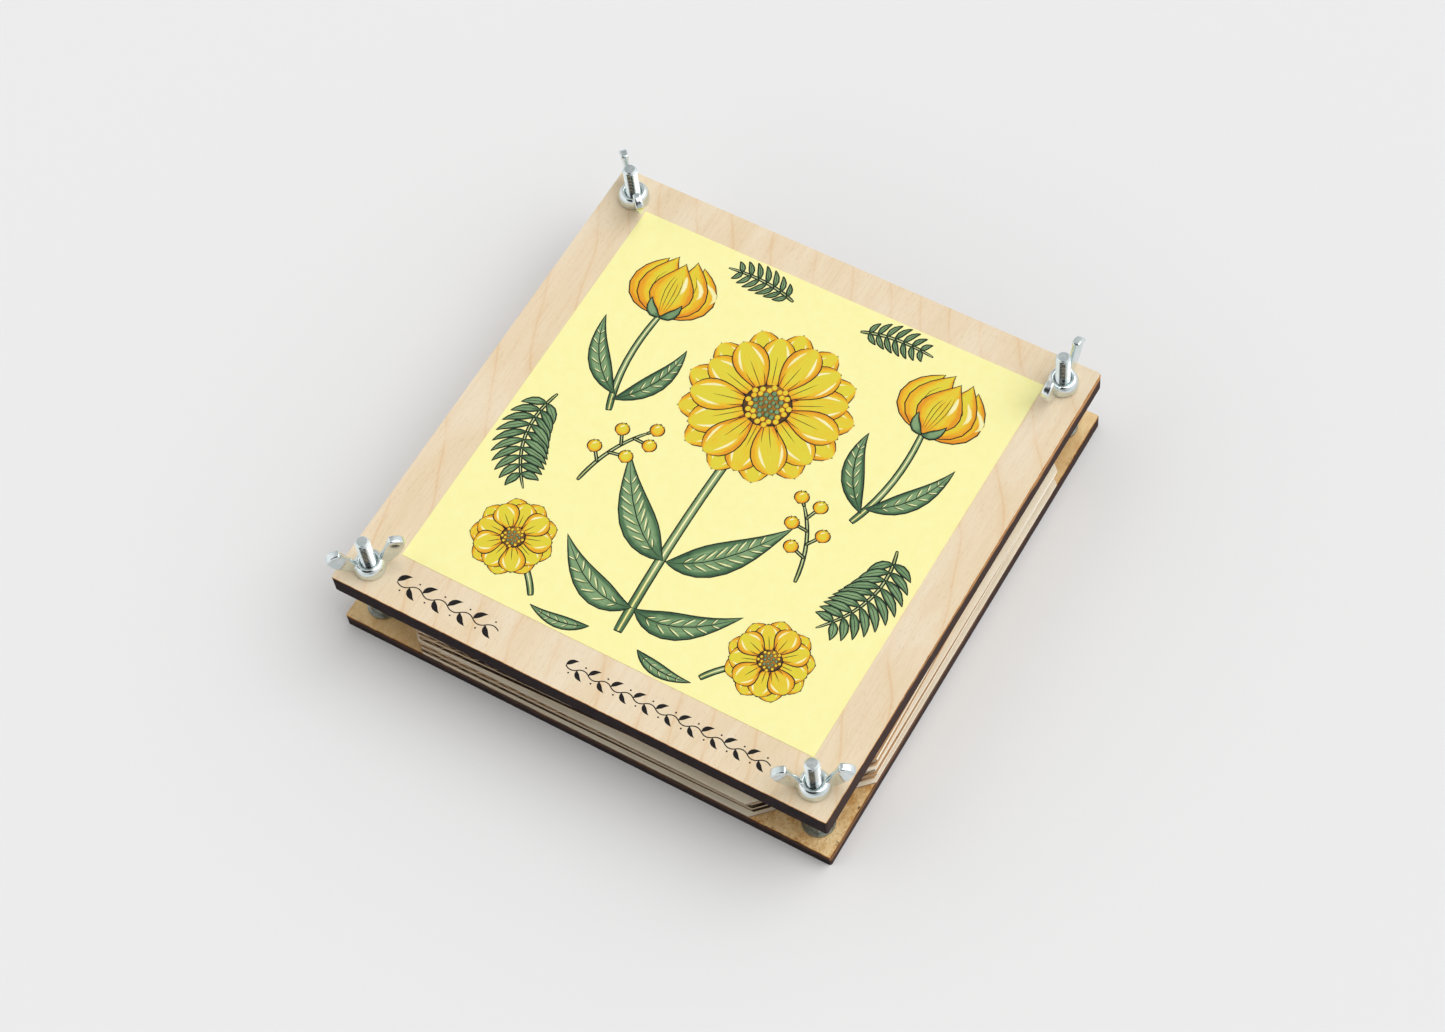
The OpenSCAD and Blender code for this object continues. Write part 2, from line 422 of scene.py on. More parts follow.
# %% Press board veneer
RING_SPACE, RING_SWAY = 14 * MM, 22 * MM
RING_LEAN, RING_BEND = 0.45, 0.8
PRESS_RIM = 0.5 * MM

press_wood = Finish("press_board_birch")
press_place = press_wood.place()
clouds = press_wood.noise(press_place, (60, 22, 1), detail=3, rough=0.55, bend=0.5)
fine = press_wood.noise(press_place, (1900, 52, 1), detail=3, rough=0.6)
broad = press_wood.noise(press_place, (480, 20, 1), (4, 0, 0), detail=4, rough=0.6)
pores = press_wood.noise(press_place, (3600, 420, 1), (3, 1, 0), detail=2, rough=0.5)
sway = press_wood.noise(press_place, (20, 14, 1), (7.3, 2, 0), detail=2)
x, y, _ = press_wood.axes(press_place)
across = (x + y * RING_LEAN + y * y * RING_BEND + (sway - 0.5) * RING_SWAY) / RING_SPACE
ring = abs(across.part() - 0.5) * 2
ring_line = ring.between(0.9, 1.0) * 0.7 + ring.between(0.55, 1.0) * 0.3
rim, burn = rim_burn(press_wood, press_place, PRESS_RIM, [
    (0.0, shade(240, 212, 164)), (0.6, shade(226, 172, 106)),
    (0.93, shade(176, 112, 62)), (1.0, shade(84, 52, 38)),
])
face = press_wood.layers(
    press_wood.mix(clouds.between(0.3, 0.72), shade(242, 225, 197), shade(236, 215, 180)),
    (broad.between(0.45, 0.8) * 0.4, shade(228, 198, 156)),
    (fine.between(0.48, 0.78) * clouds.between(0.25, 0.7, 0.15, 0.5), shade(220, 186, 142)),
    (ring_line * clouds.between(0.3, 0.6, 0.25, 1.0) * 0.5, shade(228, 186, 134)),
    (pores.between(0.56, 0.76) * 0.42, shade(204, 166, 122)),
    (rim.between(0.1, 0.6), burn),
)
side, soot = cut_side(
    press_wood, press_place, press_low.z, TOP,
    low=shade(24, 15, 18), high=shade(44, 30, 32), amber=shade(206, 150, 96), turn_amber=1,
)
flat = press_wood.faces("Z")
press_finish = press_wood.surface(
    Base_Color=press_wood.mix(flat, side, face),
    Roughness=flat * fine.between(0.3, 0.8, -0.36, -0.24) + 0.88,
    Normal=press_wood.bump(fine * 0.5 + pores * 0.3 + soot * (1 - flat) * 2, 0.05 * MM, 0.5),
    Specular_IOR_Level=0.2,
)
dress("press_board", press_finish)

# %% [markdown]
# The base board is rougher. Its veneer has turned golden, with amber clouds, small pits, and dark
# nicks where the laser began its cuts along the side. The front right corner is stained most.

# %% Base board veneer
BASE_RIM = 0.8 * MM
NICK_NEAR, NICK_DEEP = 0.5 * MM, 1.8 * MM
WORN_FROM, WORN_TO = 30 * MM, 140 * MM

base_wood = Finish("base_board_birch")
base_place = base_wood.place()
clouds = base_wood.noise(base_place, (110, 70, 1), detail=4, rough=0.65, bend=0.6)
blots = base_wood.noise(base_place, (190, 140, 1), (2, 9, 0), detail=8, rough=0.78)
fine = base_wood.noise(base_place, (1400, 60, 1), detail=3, rough=0.6)
pits = base_wood.noise(base_place, (1500, 1000, 1), (1, 4, 0), detail=3, rough=0.7)
x, y, _ = base_wood.axes(base_place)
worn = (x - y).between(WORN_FROM, WORN_TO, 0.25, 1.0)
reach = (HALF - abs(x)).least(HALF - abs(y))
nick_spots = base_wood.noise(base_place, (230, 230, 1), (8, 3, 0), detail=3, rough=0.6)
nicks = nick_spots.between(0.6, 0.64) * reach.between(NICK_NEAR, NICK_DEEP, 1.0, 0.0) * worn
rim, burn = rim_burn(base_wood, base_place, BASE_RIM, [
    (0.0, shade(226, 190, 132)), (0.6, shade(206, 150, 84)),
    (0.93, shade(120, 74, 40)), (1.0, shade(60, 38, 30)),
])
face = base_wood.layers(
    base_wood.mix(clouds.between(0.35, 0.65), shade(244, 216, 164), shade(230, 192, 134)),
    (blots.between(0.46, 0.62) * worn * 0.85, shade(200, 146, 74)),
    (blots.between(0.28, 0.42, 1.0, 0.0) * 0.5, shade(252, 234, 192)),
    (fine.between(0.5, 0.8) * 0.3, shade(206, 162, 106)),
    (pits.between(0.48, 0.7) * worn * 0.5, shade(172, 122, 62)),
    (pits.between(0.32, 0.42, 1.0, 0.0) * 0.5, shade(252, 238, 202)),
    (nicks * 0.9, shade(66, 36, 18)),
    (rim.between(0.1, 0.6), burn),
)
side, soot = cut_side(
    base_wood, base_place, base_low.z, BASE_TOP,
    low=shade(26, 18, 20), high=shade(48, 35, 34), amber=shade(140, 98, 66), turn_amber=-1,
)
flat = base_wood.faces("Z")
base_finish = base_wood.surface(
    Base_Color=base_wood.mix(flat, side, face),
    Roughness=flat * fine.between(0.3, 0.8, -0.3, -0.18) + 0.88,
    Normal=base_wood.bump(fine * 0.4 + pits * 0.6 + soot * (1 - flat) * 2, 0.06 * MM, 0.6),
    Specular_IOR_Level=0.2,
)
dress("base_board", base_finish)

# %% [markdown]
# ## Zinc plating
#
# The bolts, nuts and washers are steel with bright zinc. The plating is smooth but never quite
# even: its gloss changes in small clouds, and handling leaves faint marks. The nuts and washers
# that stay on the base board between the boards are rougher, and their zinc colour is painted
# darker, as painted shade from the press board above them.

# %% Zinc finish
zinc = Finish("bright_zinc")
zinc_place = zinc.place()
clouds = zinc.noise(zinc_place, (300, 300, 300), detail=4, rough=0.6)
grit = zinc.noise(zinc_place, (2600, 2600, 2600), detail=2)
zinc_material = zinc.surface(
    Base_Color=zinc.mix(clouds.between(0.35, 0.7), shade(216, 227, 228), shade(233, 239, 240)),
    Metallic=1.0,
    Roughness=clouds.between(0.3, 0.75, 0.1, 0.2),
    Normal=zinc.bump(clouds * 0.8 + grit * 0.2, 0.008 * MM, 0.3),
)
# Painted shade: the nuts and washers under the press board get a darker zinc colour, and they are
# also rougher
dull_shaded_zinc = Finish("dull_zinc_painted_shade")
dull_shaded_place = dull_shaded_zinc.place()
stains = dull_shaded_zinc.noise(dull_shaded_place, (520, 520, 520), detail=4, rough=0.65)
dull_shaded_material = dull_shaded_zinc.surface(
    Base_Color=dull_shaded_zinc.mix(stains.between(0.35, 0.7), shade(150, 156, 152), shade(188, 192, 188)),
    Metallic=1.0,
    Roughness=stains.between(0.3, 0.75, 0.28, 0.42),
    Normal=dull_shaded_zinc.bump(stains, 0.02 * MM, 0.4),
)
for corner in CORNERS:
    for kind in ("clamp_washer_", "clamp_nut_"):
        dress(kind + corner, dull_shaded_material)

# %% [markdown]
# ## Threaded bolts
#
# A screw thread is one small tooth profile that turns round the bolt and climbs by one pitch a
# turn. Spin does just that: it turns the profile and shifts it at every step. Neighbouring turns
# share their edge, so merging doubles closes the thread. Two flat cuts trim its ends, and the
# points near the free end are drawn in to the chamfer. The head under the base board is cut from
# a copy of the CAD bolt. The four bolts are the same, so the thread is spun once and copied.

# %% Thread
PITCH = 0.8 * MM
THREAD_STEPS = 28
CREST = 2.45 * MM
ROOT = 2.12 * MM
CHAMFER = 0.7 * MM
# One tooth as radius and share of the pitch
TOOTH = [(ROOT, 0), (ROOT, 0.14), (CREST, 0.44), (CREST, 0.62), (ROOT, 0.92), (ROOT, 1)]
MERGE, CUT = 0.002 * MM, 0.0001 * MM


def trim(form, height, way=1):
    """Cuts a form level and keeps what is below the cut, or above it if way is -1."""
    bmesh.ops.bisect_plane(
        form, geom=form.verts[:] + form.edges[:] + form.faces[:], dist=CUT,
        plane_co=(0, 0, height), plane_no=(0, 0, way), clear_outer=True,
    )


def close_ends(form):
    """Fills the rims that a cut leaves open."""
    rims = [edge for edge in form.edges if edge.is_boundary]
    bmesh.ops.holes_fill(form, edges=rims, sides=0)


def thread_form(low, high):
    """A closed threaded rod on the Z axis."""
    form = bmesh.new()
    start = low - PITCH
    points = [form.verts.new((r, 0, start + z * PITCH)) for r, z in TOOTH]
    for a, b in zip(points, points[1:]):
        form.edges.new((a, b))
    turns = math.ceil((high - low) / PITCH) + 2
    bmesh.ops.spin(
        form, geom=form.verts[:] + form.edges[:], cent=(0, 0, 0), axis=(0, 0, 1),
        dvec=(0, 0, PITCH / THREAD_STEPS), angle=math.tau * turns, steps=THREAD_STEPS * turns,
        use_merge=False,
    )
    bmesh.ops.remove_doubles(form, verts=form.verts, dist=MERGE)
    trim(form, low, -1)
    trim(form, high)
    close_ends(form)
    for vert in form.verts:
        limit = CREST - CHAMFER + (high - vert.co.z)
        reach = vert.co.xy.length
        if reach > limit:
            vert.co.xy *= limit / reach
    bmesh.ops.recalc_face_normals(form, faces=form.faces)
    return form


# %% Bolt head
def head_form(node, top):
    """The part of a CAD bolt below top, merged and closed."""
    form = bmesh.new()
    form.from_mesh(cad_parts[node].data)
    bmesh.ops.remove_doubles(form, verts=form.verts, dist=MERGE / 2)
    trim(form, top)
    close_ends(form)
    bmesh.ops.recalc_face_normals(form, faces=form.faces)
    return form


# %% Four bolts
THREAD_LOW, HEAD_TOP = BASE_TOP * 0.6, BASE_TOP * 0.7

thread = thread_form(THREAD_LOW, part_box("bolt_front_left")[1].z)
thread_mesh = bpy.data.meshes.new("thread")
thread.to_mesh(thread_mesh)
thread.free()
for corner, spot in bolt_spots.items():
    bolt_form = bmesh.new()
    bolt_form.from_mesh(thread_mesh)
    bmesh.ops.translate(bolt_form, verts=bolt_form.verts, vec=(spot.x, spot.y, 0))
    head_mesh = bpy.data.meshes.new("head")
    head = head_form("bolt_" + corner, HEAD_TOP)
    head.to_mesh(head_mesh)
    head.free()
    bolt_form.from_mesh(head_mesh)
    bolt = finish_piece("threaded_bolt_" + corner, bolt_form, zinc_material, "base")
    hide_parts("bolt_" + corner)

# %% [markdown]
# ## Wing nuts
#
# A wing nut is pressed in one piece: a round foot that slides on the wood, a waisted hub with the
# thread, and two wings that end in thick, rounded rims. Its edges are all soft. So the rough forms
# are made first, the turned hub and the two sawn-out wings, and a voxel remesh then melts them
# into one skin. A little smoothing rounds every corner like the press tool does.

# %% Wing nut hub
FOOT_R, FOOT_RIM, FOOT_CHAMFER = 5.4 * MM, 0.9 * MM, 0.3 * MM
BELL_STEPS, BELL_CURVE = 8, 1.3
HUB_R, HUB_TOP = 3.7 * MM, 4.0 * MM
SINK_R, BORE_R = 3.2 * MM, 2.65 * MM
NUT_SPIN = 72


def hub_form():
    """The turned part of the nut, spun from its half section."""
    form = bmesh.new()
    outline = [(BORE_R, 0), (FOOT_R - FOOT_CHAMFER, 0), (FOOT_R, FOOT_CHAMFER)]
    for i in range(BELL_STEPS + 1):
        angle = math.pi / 2 * i / BELL_STEPS
        outline.append((
            HUB_R + (FOOT_R - HUB_R) * math.cos(angle),
            FOOT_RIM + (HUB_TOP - FOOT_RIM) * math.sin(angle) ** BELL_CURVE,
        ))
    outline += [(SINK_R, HUB_TOP), (BORE_R, HUB_TOP - (SINK_R - BORE_R))]
    points = [form.verts.new((r, 0, z)) for r, z in outline]
    for a, b in zip(points, points[1:] + points[:1]):
        form.edges.new((a, b))
    bmesh.ops.spin(
        form, geom=form.verts[:] + form.edges[:], cent=(0, 0, 0), axis=(0, 0, 1), dvec=(0, 0, 0),
        angle=math.tau, steps=NUT_SPIN, use_merge=True,
    )
    bmesh.ops.recalc_face_normals(form, faces=form.faces)
    return form


# %% Wings
WING_REACH, WING_TOP = 13.0 * MM, 12.8 * MM
WING_DROP, WING_IN, WING_ROOT_DROP = 3.0 * MM, 7.9 * MM, 0.4 * MM
WING_STEPS = 8
ROUND_STEPS = 3


def wing_outline():
    """Side view of one wing: points of reach and height."""
    tip = math.atan2(WING_DROP, WING_REACH)
    sweep = math.hypot(WING_REACH, WING_DROP)
    low = math.asin((WING_TOP - FOOT_RIM) / sweep)
    outer = []
    for i in range(WING_STEPS + 1):
        angle = tip + (low - tip) * i / WING_STEPS
        outer.append((sweep * math.cos(angle), WING_TOP - sweep * math.sin(angle)))
    root = (SINK_R + HUB_R) / 2
    inner = [(root, FOOT_RIM * 0.6), (root, HUB_TOP - WING_ROOT_DROP)]
    return inner + [(WING_IN, WING_TOP)] + outer


def thicken(form, faces, way):
    """Extrudes faces along a vector, to a closed form."""
    grown = bmesh.ops.extrude_face_region(form, geom=faces)
    moved = [item for item in grown["geom"] if isinstance(item, bmesh.types.BMVert)]
    bmesh.ops.translate(form, verts=moved, vec=way)
    bmesh.ops.recalc_face_normals(form, faces=form.faces)


def soft_slab(outline, thick, radius):
    """An upright slab with rounded edges from a side view, centred on the XZ plane."""
    form = bmesh.new()
    face = form.faces.new([form.verts.new((x, -thick / 2, z)) for x, z in outline])
    thicken(form, [face], (0, thick, 0))
    bmesh.ops.bevel(
        form, geom=form.edges[:], offset=radius, offset_type="OFFSET", segments=ROUND_STEPS,
        profile=0.5, affect="EDGES", clamp_overlap=True, material=-1,
    )
    return form


def join_forms(form, other, turn=None):
    """Adds a copy of other, turned if asked, to form."""
    mesh = bpy.data.meshes.new("join")
    other.to_mesh(mesh)
    if turn:
        mesh.transform(turn)
    form.from_mesh(mesh)
    bpy.data.meshes.remove(mesh)


# %% Rough wing nut
RIM_THICK, WEB_THICK = 2.8 * MM, 1.8 * MM
RIM_ROUND, WEB_ROUND = 0.5 * MM, 0.4 * MM
# The thick rim of a wing from the side, as reach and height in millimetres
RIM_OUTER = [(7.9, 12.8), (9.7, 12.7), (11.3, 12.1), (12.45, 11.1), (13.0, 9.7)]
RIM_INNER = [(12.1, 8.9), (11.3, 9.9), (10.2, 10.7), (8.9, 11.1), (7.7, 11.0)]
rim_side = [(reach * MM, height * MM) for reach, height in RIM_OUTER + RIM_INNER]

nut_rough = hub_form()
half_turn = Matrix.Rotation(math.pi, 4, "Z")
web = soft_slab(wing_outline(), WEB_THICK, WEB_ROUND)
thick_rim = soft_slab(rim_side, RIM_THICK, RIM_ROUND)
for part in (web, thick_rim):
    join_forms(nut_rough, part)
    join_forms(nut_rough, part, half_turn)
    part.free()
print("rough wing nut", len(nut_rough.faces), "faces")

# %% Melt the wing nut into one skin
VOXEL = 0.19 * MM
SOFTEN_SHARE, SOFTEN_TIMES = 0.5, 6

rough_mesh = bpy.data.meshes.new("nut_rough")
nut_rough.to_mesh(rough_mesh)
nut_rough.free()
rough_nut = bpy.data.objects.new("nut_rough", rough_mesh)
bpy.context.scene.collection.objects.link(rough_nut)
melt = rough_nut.modifiers.new("melt", "REMESH")
melt.mode, melt.voxel_size, melt.adaptivity = "VOXEL", VOXEL, 0
soften = rough_nut.modifiers.new("soften", "SMOOTH")
soften.factor, soften.iterations = SOFTEN_SHARE, SOFTEN_TIMES
melted_nut = rough_nut.evaluated_get(bpy.context.evaluated_depsgraph_get())
melted = bpy.data.meshes.new_from_object(melted_nut)
bpy.data.objects.remove(rough_nut)
print("wing nut skin", len(melted.polygons), "faces")

# %% Four wing nuts
NUT_TURNS = {"front_left": 45, "front_right": 31, "back_right": 89, "back_left": -45}
NUT_SMOOTH = 60

for corner, spot in bolt_spots.items():
    skin = bmesh.new()
    skin.from_mesh(melted)
    turned_nut = Matrix.Rotation(math.radians(NUT_TURNS[corner]), 4, "Z")
    place = Matrix.Translation((spot.x, spot.y, TOP)) @ turned_nut
    bmesh.ops.transform(skin, matrix=place, verts=skin.verts)
    node = "wing_nut_" + corner
    nut = finish_piece("pressed_" + node, skin, zinc_material, node, NUT_SMOOTH)
    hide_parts(node)

# %% [markdown]
# ## Papers and cards
#
# The papers are thick, soft blotting paper, and the cards are brown corrugated board. Both are
# seen almost only from their cut sides. There the paper shows its layers and loose fibres, and
# the card its fibres and small dark specks. Papers lower in the stack are a little darker. The
# papers' cut sides that face front and back are painted darker, as painted shade, and those that
# face left and right are painted lighter, as painted light. The cards are greyer at the front and
# back. The flutes of a card are open at the front and back, and little light reaches into them,
# so each card gets its own finish that darkens between its two liners.

# %% Paper finish
paper = Finish("blotting_paper")
paper_place = paper.place()
height = paper.axes(paper_place)[2]
fibres = paper.noise(paper_place, (1400, 1400, 1400), detail=3, rough=0.6)
tone = paper.noise(paper_place, (45, 45, 260), detail=2)
sheets = paper.noise(paper_place, (60, 60, 5200), detail=1)
on_front = paper.faces("Y")
paper_material = paper.surface(
    Base_Color=paper.layers(
        paper.mix(height.between(5 * MM, 17 * MM), shade(248, 240, 220), shade(252, 245, 226)),
        (tone.between(0.35, 0.75) * 0.35, shade(226, 210, 178)),
        # Painted light and shade: cut sides facing X are made lighter, and those facing front and
        # back darker. Their layer lines show only at the front and back
        (paper.faces("X") * 0.5, shade(255, 249, 232)),
        (on_front * 0.8, shade(146, 126, 102)),
        (sheets.between(0.42, 0.66) * on_front * 0.6, shade(104, 88, 68)),
        (fibres.between(0.6, 0.8) * 0.25, shade(190, 176, 150)),
    ),
    Roughness=0.95,
    Specular_IOR_Level=0.15,
    Normal=paper.bump(fibres + sheets * on_front, 0.1 * MM, 0.5),
)
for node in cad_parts:
    if node.startswith("blotting_paper"):
        dress(node, paper_material)

# %% Card finishes
LINER = 0.35 * MM
OPEN_FROM, OPEN_TO = -0.8 * MM, 0.6 * MM
CLOSED_FROM, CLOSED_TO = 2.0 * MM, 4.5 * MM


def card_finish(node):
    """Brown board whose flutes darken away from the open sides."""
    low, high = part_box(node)
    card = Finish("brown_" + node)
    card_place = card.place()
    x, y, z = card.axes(card_place)
    fibres = card.noise(card_place, (900, 900, 900), detail=4, rough=0.7)
    tone = card.noise(card_place, (40, 40, 300), detail=3)
    specks = card.noise(card_place, (1300, 1300, 1800), (2, 6, 1), detail=2)
    between_liners = 1 - (abs(z - (low.z + high.z) / 2) > (high.z - low.z) / 2 - LINER * 0.95)
    from_open_side = (high.y - abs(y)).between(OPEN_FROM, OPEN_TO)
    from_closed_side = (high.x - abs(x)).between(CLOSED_FROM, CLOSED_TO)
    return card.surface(
        Base_Color=card.layers(
            card.mix(tone.between(0.3, 0.75), shade(216, 180, 136), shade(192, 152, 108)),
            (fibres.between(0.5, 0.75) * 0.3, shade(230, 202, 160)),
            (specks.between(0.64, 0.72) * 0.75, shade(104, 70, 42)),
            (card.faces("Y") * 0.6, shade(186, 172, 150)),
            (between_liners * from_open_side * from_closed_side * 0.95, shade(32, 24, 17)),
        ),
        Roughness=0.9,
        Specular_IOR_Level=0.2,
        Normal=card.bump(fibres, 0.1 * MM, 0.5),
    )


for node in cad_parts:
    if node.startswith("corrugated_card"):
        dress(node, card_finish(node))

# %% [markdown]
# ## The printed panel
#
# A thin printed sheet covers most of the press board: garden flowers drawn with a dark outline,
# filled with flat colour, and lined with a few fine strokes. The drawing could be an image, but
# drawn as geometry it stays sharp from any distance. Every shape in it is the same thing, a
# ribbon: a strip whose middle line follows a curve and whose width follows a profile. A petal, a
# leaf, a stem, a berry and a pen stroke differ only in these two.
#
# Each ribbon starts as a small grid. Its points remember how far across and along the ribbon
# they lie, so a finish can shade every petal from its base to its tip.

# %% Panel ground
printed = Finish("printed_yellow")
printed_place = printed.place()
mottle = printed.noise(printed_place, (260, 260, 1), detail=4, rough=0.7)
tooth = printed.noise(printed_place, (2400, 2400, 1), detail=2)
printed_material = printed.surface(
    Base_Color=printed.mix(mottle.between(0.3, 0.75), shade(255, 250, 178), shade(254, 246, 168)),
    Roughness=0.6,
    Specular_IOR_Level=0.3,
    Normal=printed.bump(tooth, 0.02 * MM, 0.4),
)
dress("printed_panel", printed_material)

# %% Ribbons
LEVEL = 0.004 * MM
PEN, FLORET_PEN = 0.42, 0.14
RIB, VEIN, HAIRLINE = 0.2, 0.13, 0.12
END_ROUND = 8
INKS = ("outline", "petal", "leaf", "stem", "heart", "light", "caption")
PANEL_X = (panel_low.x + panel_high.x) / 2
PANEL_Y = (panel_low.y + panel_high.y) / 2

inks = {name: bmesh.new() for name in INKS}
for form in inks.values():
    form.verts.layers.float_vector.new("stroke")
dice = random.Random(7)
print("inks", len(inks))


def bezier(points, t):
    """Point and direction on a curve. Beyond its ends the curve runs straight on."""
    inside = min(max(t, 0.0), 1.0)
    line = [Vector(p) for p in points]
    while len(line) > 2:
        line = [a.lerp(b, inside) for a, b in zip(line, line[1:])]
    along = line[1] - line[0]
    slope = along * (len(points) - 1)
    return line[0].lerp(line[1], inside) + slope * (t - inside), along.normalized()


def ribbon(ink, points, width, level, grow=0.0, steps=12, across=2, tint=None):
    """Adds one strip to an ink. Points and widths are in millimetres on the panel.

    A higher level lies on top. Grow makes the strip wider and longer, for a line round it."""
    form = inks[ink]
    memory = form.verts.layers.float_vector["stroke"]
    ground = TOP if ink == "caption" else panel_high.z
    length = sum((Vector(b) - Vector(a)).length for a, b in zip(points, points[1:]))
    extra = grow / length
    tint = dice.random() if tint is None else tint
    grid = bmesh.ops.create_grid(form, x_segments=across, y_segments=steps, size=0.5)
    for vert in grid["verts"]:
        side, share = vert.co.x * 2, vert.co.y + 0.5
        eased = 0.5 - 0.5 * math.cos(math.pi * share)
        t = -extra + (1 + 2 * extra) * eased
        spot, along = bezier(points, t)
        round_end = math.sqrt(max(0.0, 1 - (2 * eased - 1) ** END_ROUND))
        half = width(min(max(t, 0.0), 1.0)) + grow * round_end
        spot += Vector((along.y, -along.x)) * side * half
        vert.co = (PANEL_X + spot.x * MM, PANEL_Y + spot.y * MM, ground + LEVEL * level)
        vert[memory] = (side, eased, tint)


def shape(ink, points, width, level, steps=12, across=2):
    """A filled ribbon with a pen line round it."""
    ribbon("outline", points, width, level, PEN, steps, 1)
    ribbon(ink, points, width, level + 1, 0.0, steps, across)


# %% Widths and strokes
# A width profile takes the share of a ribbon's length and gives half its width there
def round_petal(wide):
    return lambda t: wide * max(0.0, math.sin(math.pi * t ** 1.5)) ** 0.55


def pointed(wide):
    return lambda t: wide * max(0.0, math.sin(math.pi * t ** 0.85)) ** 1.15


def stalk(wide, tip=0.6):
    return lambda t: wide * (1 - (1 - tip) * t)


def disc(wide):
    return lambda t: wide * math.sqrt(max(0.0, 1 - (2 * t - 1) ** 2))


def hair(wide):
    return lambda t: wide * max(0.0, math.sin(math.pi * t)) ** 0.7


def stroke(ink, points, wide, level, steps, tint=None):
    """A fine line, widest in its middle."""
    ribbon(ink, points, hair(wide), level, steps=steps, across=1, tint=tint)


def turned(x, y, angle, points):
    """Points given from a base that looks up, turned and set at x, y."""
    c, s = math.cos(angle), math.sin(angle)
    return [(x + px * c - py * s, y + px * s + py * c) for px, py in points]


# %% [markdown]
# A flower is drawn from back to front. Every ribbon gets a level, and each level lies four
# micrometres above the last, so petals lap over each other like layers of paint.

# %% Petals
STEM_LEVEL, LEAF_LEVEL, FLOWER_LEVEL = 4, 8, 20
LIFT = 3
PETAL_LINES = 3


def petal(x, y, angle, near, far, wide, level):
    """One petal from near to far of its flower's middle, with pen lines and highlights."""
    bend = dice.uniform(-0.06, 0.06) * far
    long = far - near
    path = turned(x, y, angle, [(0, near), (bend, near + long / 2), (0, far)])
    shape("petal", path, round_petal(wide), level)
    for i in range(PETAL_LINES):
        side = 2 * i / (PETAL_LINES - 1) - 1
        reach = near + long * (0.62 - 0.22 * abs(side)) * dice.uniform(0.85, 1.1)
        out = side * wide
        line = [(out * 0.16, near + 0.4), (out * 0.42, (near + reach) / 2), (out * 0.5, reach)]
        stroke("outline", turned(x, y, angle, line), VEIN, level + 2, 5)
    for out in (-wide, wide):
        gleam = [
            (out * 0.62, near + long * 0.45), (out * 0.72, near + long * 0.66),
            (out * 0.34, near + long * 0.88),
        ]
        stroke("light", turned(x, y, angle, gleam), 0.09 * wide, level + 2, 6)


# %% Daisies
def bloom(x, y, radius, petals, florets, spin):
    """A daisy seen from above: two rings of petals and a heart of small round florets."""
    for ring, reach in enumerate((1.0, 0.9)):
        for i in range(petals):
            angle = spin + math.tau * (i + ring * 0.5) / petals
            wide = radius * math.tan(math.pi / petals) * 0.8
            # Neighbours never share a level, so that one laps over the other
            lap = ring * 3 + (2 if i == petals - 1 else i % 2)
            level = FLOWER_LEVEL + lap * LIFT
            petal(x, y, angle, radius * 0.2, radius * reach, wide, level)
    heart = radius * 0.27
    level = FLOWER_LEVEL + 6 * LIFT + 1
    shape("heart", [(x, y - heart), (x, y), (x, y + heart)], disc(heart), level, 14)
    golden = math.pi * (3 - math.sqrt(5))
    for i in range(florets):
        reach = heart * 0.95 * math.sqrt((i + 0.5) / florets)
        fx, fy = x + reach * math.cos(i * golden), y + reach * math.sin(i * golden)
        size = heart * (0.085 + 0.05 * reach / heart)
        ink = "petal" if reach > heart * 0.62 else "leaf"
        path = [(fx, fy - size), (fx, fy + size)]
        ribbon("outline", path, disc(size), level + 2, FLORET_PEN, 6, 1)
        ribbon(ink, path, disc(size), level + 3, 0.0, 6, 1)


# %% Tulips
# Each petal from back to front: its lean, its reach and half its width, as shares of the height
CUP_PETALS = [
    (-0.30, 0.92, 0.26), (0.30, 0.92, 0.26), (-0.16, 0.98, 0.30), (0.16, 0.98, 0.30),
    (0.0, 0.9, 0.30),
]


def cup(x, y, angle, tall):
    """A tulip seen from the side: five broad petals that close to a cup."""
    for i, (lean, reach, share) in enumerate(CUP_PETALS):
        level = FLOWER_LEVEL + i * LIFT
        out, wide = lean * tall, share * tall
        points = [(out * 0.2, 0), (out * 1.9, tall * 0.42), (out * 0.9, reach * tall)]
        shape("petal", turned(x, y, angle, points), pointed(wide), level)
        for side in (-0.5, -0.2, 0.15, 0.45):
            shifts = [side * wide * k for k in (0.25, 1.1, 0.35)]
            line = [(px + shift, py + 1.0) for (px, py), shift in zip(points, shifts)]
            line[2] = (line[2][0], points[2][1] * dice.uniform(0.62, 0.8))
            stroke("outline", turned(x, y, angle, line), HAIRLINE, level + 2, 6)
        belly, tip = points[1][0], points[2][0]
        gleam = [
            (belly * 0.8 + wide * 0.4, tall * 0.4), (belly + wide * 0.5, tall * 0.55),
            (tip + wide * 0.3, tall * 0.72),
        ]
        stroke("light", turned(x, y, angle, gleam), 0.035 * tall, level + 2, 6)
    level = FLOWER_LEVEL + len(CUP_PETALS) * LIFT + 2
    for out in (-tall, tall):
        sepal = [(0, -0.6), (out * 0.2, tall * 0.02), (out * 0.22, tall * 0.24)]
        shape("leaf", turned(x, y, angle, sepal), pointed(0.06 * tall), level, 8)


# %% [markdown]
# Leaves, ferns and berry sprigs take the same ribbons with other paths and widths. What grows
# from a stalk is placed by the stalk's own curve, so it always leans the way the stalk runs.

